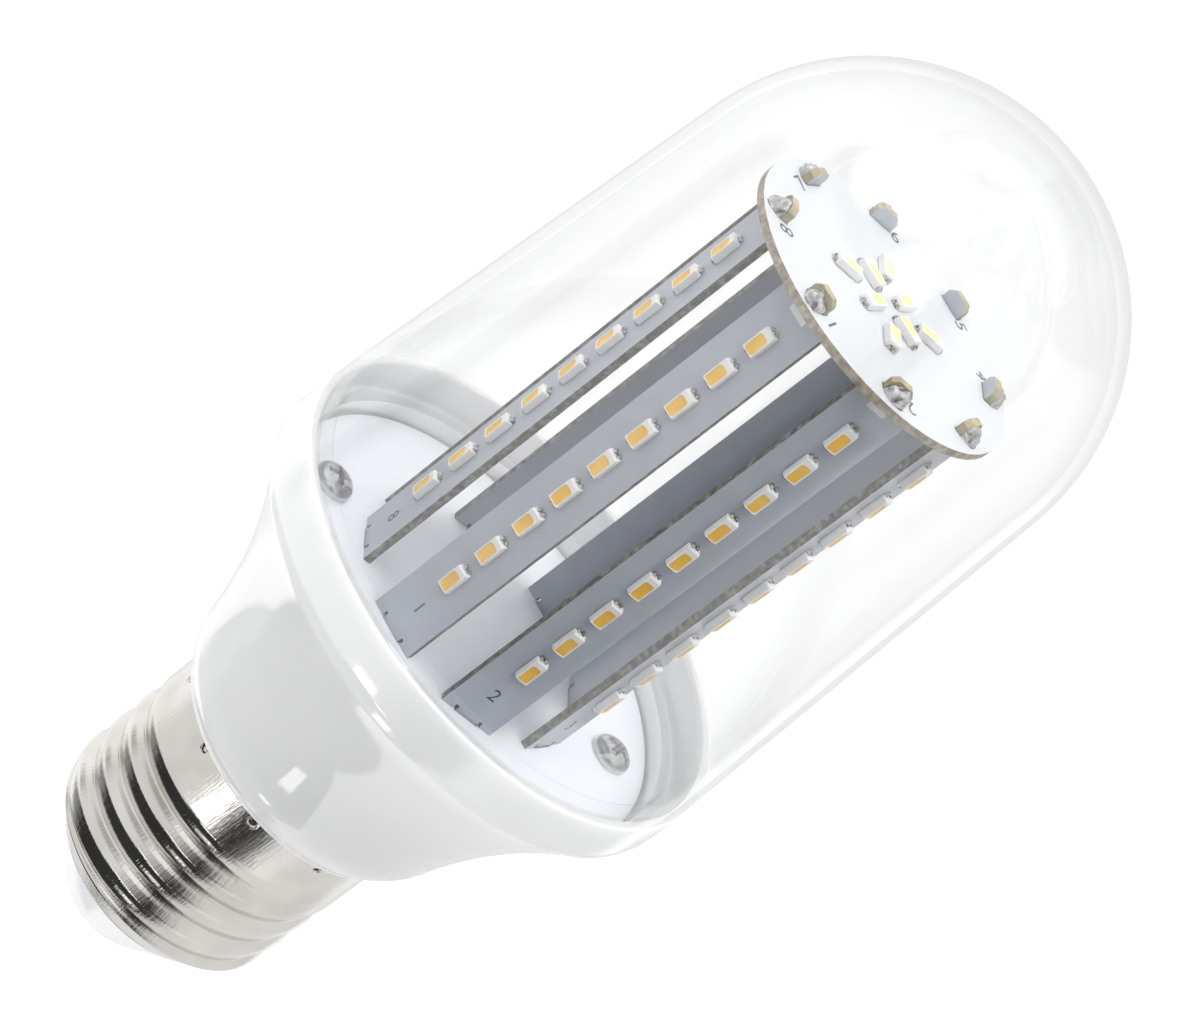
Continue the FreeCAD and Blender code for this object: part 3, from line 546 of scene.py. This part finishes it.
def led_cup():
    window = (WINDOW_WIDE, WINDOW_LONG)
    return skin([
        [(0, 0, 0.0)],
        rounded_ring(LED_WIDE - 0.2, LED_LONG - 0.2, 0.06, 0.0),
        rounded_ring(LED_WIDE - 0.2, LED_LONG - 0.2, 0.06, 0.07),
        rounded_ring(LED_WIDE, LED_LONG, 0.06, 0.08),
        rounded_ring(LED_WIDE, LED_LONG, 0.06, 0.3),
        rounded_ring(LED_WIDE - 0.08, LED_LONG - 0.10, 0.08, LED_TALL - 0.04),
        rounded_ring(LED_WIDE - 0.15, LED_LONG - 0.17, 0.10, LED_TALL),
        rounded_ring(window[0] + 0.04, window[1] + 0.04, 0.30, LED_TALL, WINDOW_SHIFT),
        rounded_ring(window[0], window[1], 0.28, LED_TALL - 0.03, WINDOW_SHIFT),
        rounded_ring(window[0] - 0.12, window[1] - 0.12, 0.24, LED_TALL - 0.28, WINDOW_SHIFT),
        [(0, WINDOW_SHIFT, LED_TALL - 0.28)],
    ])


def phosphor_gel():
    wide, long = WINDOW_WIDE - 0.03, WINDOW_LONG - 0.03
    return skin([
        [(0, WINDOW_SHIFT, LED_TALL - 0.26)],
        rounded_ring(wide - 0.10, long - 0.10, 0.22, LED_TALL - 0.26, WINDOW_SHIFT),
        rounded_ring(wide, long, 0.27, LED_TALL - 0.05, WINDOW_SHIFT),
        rounded_ring(wide - 0.25, long - 0.25, 0.20, LED_TALL - 0.08, WINDOW_SHIFT),
        [(0, WINDOW_SHIFT, LED_TALL - 0.09)],
    ])


def solder_bead(width, length, height, centre, luck, steps):
    """A drop of solder that has wetted its pad: a dome with an uneven skin."""
    rings = []
    for level in range(4):
        slope = math.pi / 2 * level / 4
        size = math.cos(slope) ** 0.8
        ring = []
        for turn in full_turn(steps):
            wander = 1 + 0.07 * luck.uniform(-1, 1)
            ring.append((centre[0] + width / 2 * size * math.cos(turn) * wander,
                         centre[1] + length / 2 * size * math.sin(turn) * wander,
                         height * math.sin(slope)))
        rings.append(ring)
    return skin([[(centre[0], centre[1], 0)]] + rings + [[(centre[0], centre[1], height)]])


def on_top(turn_degrees, reach, across, out):
    turn = math.radians(turn_degrees)
    return (reach * math.cos(turn) - across * math.sin(turn),
            reach * math.sin(turn) + across * math.cos(turn), TOP_TOP + out)


def phosphor(name, dark, middle, light):
    """Silicone gel full of phosphor, cloudier in places."""
    finish = Finish(name, {"Roughness": 0.42, "Specular IOR Level": 0.4})
    finish.set("Base Color", finish.tint(finish.noise(0.5, 3), [
        (0.3, dark), (0.5, middle), (0.7, light)]))
    finish.relief(finish.noise(6), 0.01, 0.3)
    return finish


cup_white = Finish("led_white", {"Roughness": 0.35})
cup_white.set("Base Color", cup_white.tint(cup_white.noise(1.2), [
    (0.3, (0.82, 0.81, 0.80)), (0.7, (0.88, 0.87, 0.86))]))
cup_white.relief(cup_white.noise(8), 0.006, 0.3)
amber_gel = phosphor("phosphor_yellow", (0.90, 0.49, 0.045), (0.93, 0.55, 0.075),
                     (0.95, 0.61, 0.13))
# Painted light: the top board's LEDs carry the same phosphor, given a paler yellow for the strong
# light from above.
lit_phosphor_gel = phosphor("phosphor_painted_light", (0.92, 0.73, 0.24), (0.94, 0.78, 0.32),
                    (0.95, 0.82, 0.42))
tin = Finish("solder", {"Metallic": 1.0})
tin.set("Base Color", tin.tint(tin.noise(2), [
    (0.3, (0.42, 0.41, 0.40)), (0.7, (0.74, 0.74, 0.74))]))
tin.set("Roughness", tin.between(tin.noise(4, 3), 0.05, 0.22))
tin.relief(tin.noise(1.6, 3), 0.10, 0.6)
flux = Finish("flux_brown", {"Roughness": 0.3})
flux.set("Base Color", flux.tint(flux.noise(8), [
    (0.3, (0.07, 0.035, 0.02)), (0.7, (0.16, 0.09, 0.06))]))


def led_row(places, gel, cups_name, gels_name, joints_name, cups_node, gels_node, seed):
    """The cups, their gel and their solder for LEDs at the given places."""
    luck = random.Random(seed)
    cups, gels, joints, picks = [], [], [], []
    for place in places:
        cups.append(laid(led_cup(), place))
        gels.append(laid(phosphor_gel(), place))
        for end in (1, -1):
            reach = (LED_LONG / 2 + 0.06) * end
            for side in (0.27, -0.27):
                size = luck.uniform(0.9, 1.15)
                bead = solder_bead(0.46 * size, 0.6 * size, 0.46 * size, (side, reach), luck, 10)
                joints.append(laid(bead, place))
            speck = solder_bead(0.2, 0.2, 0.12, (0.22 * end, reach + 0.08 * end), luck, 8)
            joints.append(laid(speck, lambda x, y, z: place(x, y, z + 0.36)))
            picks += [0, 0, 1]
    add_piece(cups_name, cups, [cup_white.material], (cups_node,))
    add_piece(gels_name, gels, [gel.material], (gels_node,))
    add_piece(joints_name, joints, [tin.material, flux.material], picks=picks)


for number in range(1, STRIP_COUNT + 1):
    places = [lambda x, y, z, strip=number, up=BASE_TOP + FIRST_LED + LED_PITCH * row: on_strip(
        strip, x, up + y, z) for row in range(9)]
    led_row(places, amber_gel, "strip_%d_led_cups" % number, "strip_%d_gel" % number,
            "strip_%d_led_solder" % number, "strip_%d_leds" % number,
            "strip_%d_phosphors" % number, number)
spokes = [(FIRST_STRIP + 45 * spoke, OUTER_LEDS if spoke % 2 else INNER_LEDS)
          for spoke in range(8)]
led_row([lambda x, y, z, turn=turn, reach=reach: on_top(turn, reach + y, -x, z)
         for turn, reach in spokes],
        lit_phosphor_gel, "top_led_cups", "top_gel", "top_led_solder", "top_leds", "top_phosphors", 20)


# Solder at the tabs
# A drop of solder joins each tab to the copper of its board, on the side away from the
# axis. Above the top board the drops are tall and glossy, with a number printed beside each.

DROP_OUT, DROP_WIDE, DROP_TALL = 1.3, 1.15, 1.28


def tab_joint(turn, luck):
    """A drop leaning on the tab's outer face."""
    rows = 12
    rings = []
    seed = luck.uniform(0, 50)
    for row in range(rows + 1):
        slope = math.pi * row / rows - math.pi / 2
        ring = []
        for side in full_turn(24):
            x = math.copysign(abs(math.cos(slope) * math.cos(side)) ** 0.8, math.cos(side))
            y = math.copysign(abs(math.cos(slope) * math.sin(side)) ** 0.75, math.sin(side))
            z = math.copysign(abs(math.sin(slope)) ** 0.9, math.sin(slope))
            way = Vector((x, y, z)) + Vector((seed, 0, 0))
            wander = 1 + 0.30 * noise.noise(way * 0.9) + 0.16 * noise.noise(way * 2.3)
            out = max(STRIP_FACE + 0.01, STRIP_FACE + DROP_OUT * x * wander)
            ring.append(on_top(turn, out, DROP_WIDE * y * wander, max(0.0, DROP_TALL * z * wander)))
        rings.append(ring)
    return skin(rings)


MARK_TALL, MARK_REACH = 2.4, 12.7
marks = []
for number in range(1, STRIP_COUNT + 1):
    beside = FIRST_STRIP + 45 * (number - 1) + (-9 if number in (5, 6) else 10)
    marks.append(printed(str(number), MARK_TALL, lambda x, y, z, turn=beside: on_top(
        turn, MARK_REACH + y, -x, z + INK_LIFT)))
add_piece("top_board_numbers", marks, [ink.material])
luck = random.Random(3)
joints = [tab_joint(FIRST_STRIP + 45 * number, luck) for number in range(STRIP_COUNT)]
add_piece("top_solder_drops", joints, [tin.material], ("top_solder_joints",), 80)
dress("base_solder_joints", tin)


# Base board screws
# Two plated pan head screws with a cross recess. They hold the base board down on the
# bosses of the housing.

def pan_head(x, y, seat, turn):
    """Domed head with a cross recess, on a plain shank."""
    rows, radius, height, edge, recess = 26, 2.1, 1.5, 0.45, 0.85
    turns = full_turn(96)
    rings = [[(x, y, seat - 6.0)]]
    shank = ((1.0, -5.0), (1.05, -2.0), (1.1, -0.01))
    for size, level in (*shank, (radius, 0.0), (radius, edge)):
        rings.append(circle(x, y, size, seat + level, turns))
    for row in range(1, rows):
        size = radius * (1 - row / rows)
        dome = edge + (height - edge) * (1 - (size / radius) ** 2.6) ** 0.6
        ring = []
        for a in turns:
            along, across = abs(size * math.cos(a - turn)), abs(size * math.sin(a - turn))
            in_arm = min(max((0.34 - min(along, across)) / 0.12, 0), 1)
            in_reach = min(max((1.32 - max(along, across)) / 0.35, 0), 1)
            ring.append((x + size * math.cos(a), y + size * math.sin(a),
                         seat + dome - recess * (in_arm * in_reach)))
        rings.append(ring)
    rings.append([(x, y, seat + height - recess)])
    return skin(rings)


screw_steel = Finish("screw_steel", {"Metallic": 1.0})
screw_steel.set("Base Color", screw_steel.tint(screw_steel.noise(1.5), [
    (0.3, (0.55, 0.55, 0.56)), (0.7, (0.74, 0.74, 0.75))]))
screw_steel.set("Roughness", screw_steel.between(screw_steel.noise(5, 3), 0.14, 0.34))
screw_steel.relief(screw_steel.noise(4), 0.02, 0.35)
heads = []
for side, turn in ((0, 0.5), (180, 1.1)):
    a = math.radians(SCREW_ANGLE + side)
    heads.append(pan_head(SCREW_REACH * math.cos(a), SCREW_REACH * math.sin(a), BASE_TOP, turn))
add_piece("base_board_pan_heads", heads, [screw_steel.material],
          ("base_board_screws",), 50)


# Driver
# A tan board down the neck with its transformer, capacitors, choke and chips, and four
# insulated wires. All of it is hidden by the housing and finished plainly.

def plain(name, dark, light, roughness, grain):
    finish = Finish(name, {})
    finish.set("Base Color", finish.tint(finish.noise(grain), [(0.3, dark), (0.7, light)]))
    finish.set("Roughness", finish.between(finish.noise(grain * 2), roughness - 0.08,
                                           roughness + 0.08))
    finish.relief(finish.noise(grain * 4), 0.02, 0.3)
    return finish


DRIVER_FINISHES = [
    (plain("driver_board_tan", (0.42, 0.33, 0.16), (0.55, 0.46, 0.26), 0.5, 0.6),
     ["driver_board"]),
    (plain("winding_tape", (0.72, 0.52, 0.06), (0.85, 0.66, 0.14), 0.35, 0.5),
     ["transformer_winding"]),
    (plain("ferrite_black", (0.04, 0.04, 0.042), (0.09, 0.09, 0.095), 0.7, 1.5),
     ["transformer_core"]),
    (plain("package_black", (0.015, 0.015, 0.015), (0.04, 0.04, 0.04), 0.55, 2.0),
     ["bridge_rectifier", "controller_chip"]),
    (plain("choke_sleeve", (0.02, 0.10, 0.04), (0.05, 0.18, 0.08), 0.3, 0.8), ["choke"]),
    (plain("capacitor_sleeve", (0.02, 0.035, 0.08), (0.05, 0.07, 0.14), 0.25, 0.8),
     ["input_capacitor", "output_capacitor"]),
    (plain("film_box", (0.40, 0.06, 0.03), (0.55, 0.11, 0.06), 0.4, 0.8), ["film_capacitor"]),
    (plain("resistor_coat", (0.18, 0.34, 0.48), (0.28, 0.46, 0.60), 0.6, 1.2),
     ["fusible_resistor"]),
    (plain("wire_red", (0.45, 0.02, 0.015), (0.62, 0.05, 0.03), 0.4, 1.0),
     ["positive_wire", "live_wire"]),
    (plain("wire_black", (0.01, 0.01, 0.01), (0.035, 0.035, 0.035), 0.4, 1.0),
     ["negative_wire"]),
    (plain("wire_white", (0.70, 0.70, 0.68), (0.80, 0.80, 0.78), 0.4, 1.0), ["neutral_wire"]),
]
for finish, names in DRIVER_FINISHES:
    for name in names:
        dress(name, finish)


# Clear cover
# A bullet of clear moulded plastic, 1.2 mm thick. Its stepped foot snaps into the collar
# and a thin flange rests on the collar's rim.

TAPER, COVER_TIP, COVER_WALL, BALL = math.radians(3.7), 121.9, 1.2, 22.5
WALL_FOOT, COLLAR_TOP, SEAT = 58.6, 57.02, 53.02


def bullet(ball, tip, turned_in):
    """Points of the ball end, from where it meets the cone up to the tip."""
    points = []
    steps = 44
    for step in range(steps + 1):
        rise = TAPER + (math.pi / 2 - TAPER) * step / steps
        points.append((ball * math.cos(rise), tip - ball + ball * math.sin(rise)))
    points[-1] = (0.0, tip)
    return points[::-1] if turned_in else points


def between_points(start, end):
    """Points along a long straight wall, so that its shading keeps the true slope."""
    steps = 14
    return [tuple(Vector(start).lerp(Vector(end), step / steps)) for step in range(1, steps)]


outer_ball = bullet(BALL, COVER_TIP, False)
inner_ball = bullet(BALL - COVER_WALL, COVER_TIP - COVER_WALL, True)
inner_foot = (inner_ball[-1][0] + (inner_ball[-1][1] - WALL_FOOT) * math.tan(TAPER), WALL_FOOT)
foot = soften([(23.0, 57.6, 0.3), (23.0, SEAT, 0.1), (24.2, SEAT, 0.2), (24.2, COLLAR_TOP),
               (25.28, COLLAR_TOP, 0.16), (25.25, 57.8)])
cover_outline = foot + between_points(foot[-1], outer_ball[0]) + outer_ball
cover_outline += inner_ball + between_points(inner_ball[-1], inner_foot) + [inner_foot]

# The plastic is a faint mirror that lets most of the light through. Its outer face mirrors
# more, and where the wall is seen edge-on it turns greyer with painted shade.
clear = Finish("clear_plastic", {"Metallic": 1.0, "Roughness": 0.015})
edge_on = clear.add("ShaderNodeLayerWeight", {"Blend": 0.5}, output="Facing")
x, y, z = (clear.add("ShaderNodeSeparateXYZ", {0: clear.place}, output=axis) for axis in "XYZ")
out_squared = clear.maths("MULTIPLY_ADD", x, x, clear.maths("MULTIPLY", y, y))
past = clear.maths("SUBTRACT", z, COVER_TIP - BALL)
on_ball = clear.maths("SQRT", clear.maths("MULTIPLY_ADD", past, past, out_squared))
on_cone = clear.maths("MULTIPLY_ADD", past, math.sin(TAPER),
                    clear.maths("MULTIPLY", clear.maths("SQRT", out_squared), math.cos(TAPER)))
reach = clear.between(clear.maths("GREATER_THAN", past, 1.4), on_cone, on_ball)
outer_face = clear.between(reach, 0.1, 1.0, BALL - 0.8, BALL - 0.4)
shine = clear.maths("MULTIPLY_ADD", clear.maths("POWER", edge_on, 3.0),
                  clear.maths("MULTIPLY", outer_face, 0.55),
                  clear.between(clear.noise(0.08, 3), 0.085, 0.10))
clear.set("Alpha", shine)
# Painted shade: the mirror's colour darkens where the wall is seen edge-on, for the cover's grey
# rims.
clear.set("Base Color", clear.tint(edge_on, [
    (0.0, (0.78, 0.785, 0.79)), (0.5, (0.75, 0.755, 0.76)), (0.8, (0.64, 0.645, 0.65)),
    (1.0, (0.58, 0.585, 0.59))]))
clear.relief(clear.noise(0.05, 2), 0.02, 0.12)
add_piece("clear_cover_bullet", [lathe(cover_outline, 256)], [clear.material],
          ("clear_cover",), 28)


# Studio
# A plain white floor, a soft white tent, black flags that only the gloss of the surfaces
# sees, and the camera where the photograph was taken from.

scene = bpy.context.scene
floor_mesh = bpy.data.meshes.new("floor")
floor_mesh.from_pydata([(-3, -3, 0), (3, -3, 0), (3, 3, 0), (-3, 3, 0)], [], [(0, 1, 2, 3)])
floor = bpy.data.objects.new("floor", floor_mesh)
floor.location.z = -0.0005
scene.collection.objects.link(floor)
paper = Finish("floor_paper", {"Roughness": 0.9, "Emission Strength": 0.93,
                               "Emission Color": (1, 1, 1, 1)})
paper.set("Base Color", paper.tint(paper.noise(0.02), [
    (0.3, (0.10, 0.10, 0.10)), (0.7, (0.11, 0.11, 0.11))]))
floor_mesh.materials.append(paper.material)
floor.visible_glossy = False
floor.visible_diffuse = False

world = bpy.data.worlds.new("studio")
world.use_nodes = True
scene.world = world
world.cycles.sampling_method = "NONE"


class Tent(Finish):
    """The light all round the bulb, direction by direction in degrees."""

    def __init__(self, tree, stops):
        self.tree = tree
        self.way = self.add("ShaderNodeTexCoord", output="Generated")
        x, y, z = (self.add("ShaderNodeSeparateXYZ", {0: self.way}, output=axis)
                   for axis in "XYZ")
        self.azimuth = self.maths("DEGREES", self.maths("ARCTAN2", y, x))
        self.elevation = self.maths("DEGREES", self.maths("ARCSINE", z))
        self.light = self.tint(self.between(z, 0, 1, -1, 1), [
            (share, (light,) * 3) for share, light in stops])

    def card(self, azimuth, elevation, reach, soft, light):
        """A round lamp in one direction, a disc of some degrees' reach."""
        turn, rise = math.radians(azimuth), math.radians(elevation)
        towards = (math.cos(turn) * math.cos(rise), math.sin(turn) * math.cos(rise),
                   math.sin(rise))
        match = self.add("ShaderNodeVectorMath", {0: self.way, 1: towards}, output="Value",
                         operation="DOT_PRODUCT")
        share = self.between(match, 0, 1, math.cos(math.radians(reach + soft)),
                             math.cos(math.radians(reach)))
        self.light = self.blend(share, self.light, (light,) * 3)

    def panel(self, azimuths, elevations, soft, light):
        """A soft box or a flag with straight edges, between the directions given."""
        share = 1.0
        for value, (low, high) in ((self.azimuth, azimuths), (self.elevation, elevations)):
            share = self.maths("MULTIPLY", share, self.between(value, 0, 1, low - soft, low))
            share = self.maths("MULTIPLY", share, self.between(value, 0, 1, high + soft, high))
        self.light = self.blend(share, self.light, (light,) * 3)


# The gloss tent is what shiny surfaces mirror, the matt tent is what lights the dull ones.
BLACK = 0.04
gloss = Tent(world.node_tree, [(0.0, 0.85), (0.5, 0.86), (0.75, 0.86), (1.0, 1.1)])
# Each stretch is its azimuths, its elevations, the width of its soft edge and its light.
soft_boxes_and_stripes = [
    ((-125, -76), (-62, 30), 8, 1.12), ((-71, -64), (-25, 6), 6, 0.45),
    ((40, 54), (-60, 40), 24, 0.30), ((-60, 5), (34, 56), 8, 0.5),
    ((10, 42), (38, 58), 4, 1.15), ((80, 100), (-42, -24), 5, 1.0),
    ((-100, -50), (-90, -46), 4, 0.3), ((63, 72), (-60, -14), 6, 0.14)]
black_upright = [((45, 60), (-70, 36), 3, BLACK)]
black_ground = [
    ((8, 62), (-90, -39), 2, BLACK), ((-66, 30), (-90, -46), 2, BLACK),
    ((60, 80), (-90, -54), 3, BLACK), ((-78, 80), (-90, -56), 2, BLACK),
    ((-148, -78), (-90, -62), 2, BLACK), ((-180, -148), (-90, -80), 2, BLACK),
    ((80, 180), (-90, -78), 2, BLACK)]
lamps = [((168, 180), (-30, -15), 6, 1.35), ((17, 29), (-35, -31), 1.5, 3.0)]
for stretch in soft_boxes_and_stripes + black_upright + black_ground + lamps:
    gloss.panel(*stretch)
gloss.card(37, -42, 2.5, 1.5, 4.0)
gloss.panel((40, 54), (-70, -64), 1.5, 2.2)
gloss.card(-46, 60, 22, 4, 1.5)

matt = Tent(world.node_tree, [(0.0, 2.5), (0.15, 1.75), (0.3, 1.08), (0.45, 0.68), (0.6, 0.66),
                              (0.85, 1.1), (1.0, 6.3)])
matt.panel((-130, -20), (-40, 30), 20, 1.08)
matt.panel((15, 130), (-40, 30), 15, 0.42)
matt.panel((-110, 0), (40, 68), 12, 1.9)

background = world.node_tree.nodes["Background"]
ray = gloss.add("ShaderNodeLightPath", output="Is Camera Ray").node
gloss.feed(background.inputs["Color"], gloss.blend(
    ray.outputs["Is Camera Ray"],
    gloss.blend(ray.outputs["Is Diffuse Ray"], gloss.light, matt.light), (1.0, 1.0, 1.0)))

camera_data = bpy.data.cameras.new("camera")
camera_data.sensor_width = 36
camera_data.lens = 113.57
camera_data.clip_start = 0.01
camera_data.clip_end = 50
camera = bpy.data.objects.new("camera", camera_data)
right = Vector((-0.60721, 0.34789, 0.71433))
up = Vector((0.17317, -0.81949, 0.54631))
back = Vector((0.77544, 0.45542, 0.43735))
camera.matrix_world = Matrix.Translation((0.2618, 0.15301, 0.21557)) @ Matrix(
    (right, up, back)).transposed().to_4x4()
scene.collection.objects.link(camera)
scene.camera = camera
scene.view_settings.view_transform = "Standard"
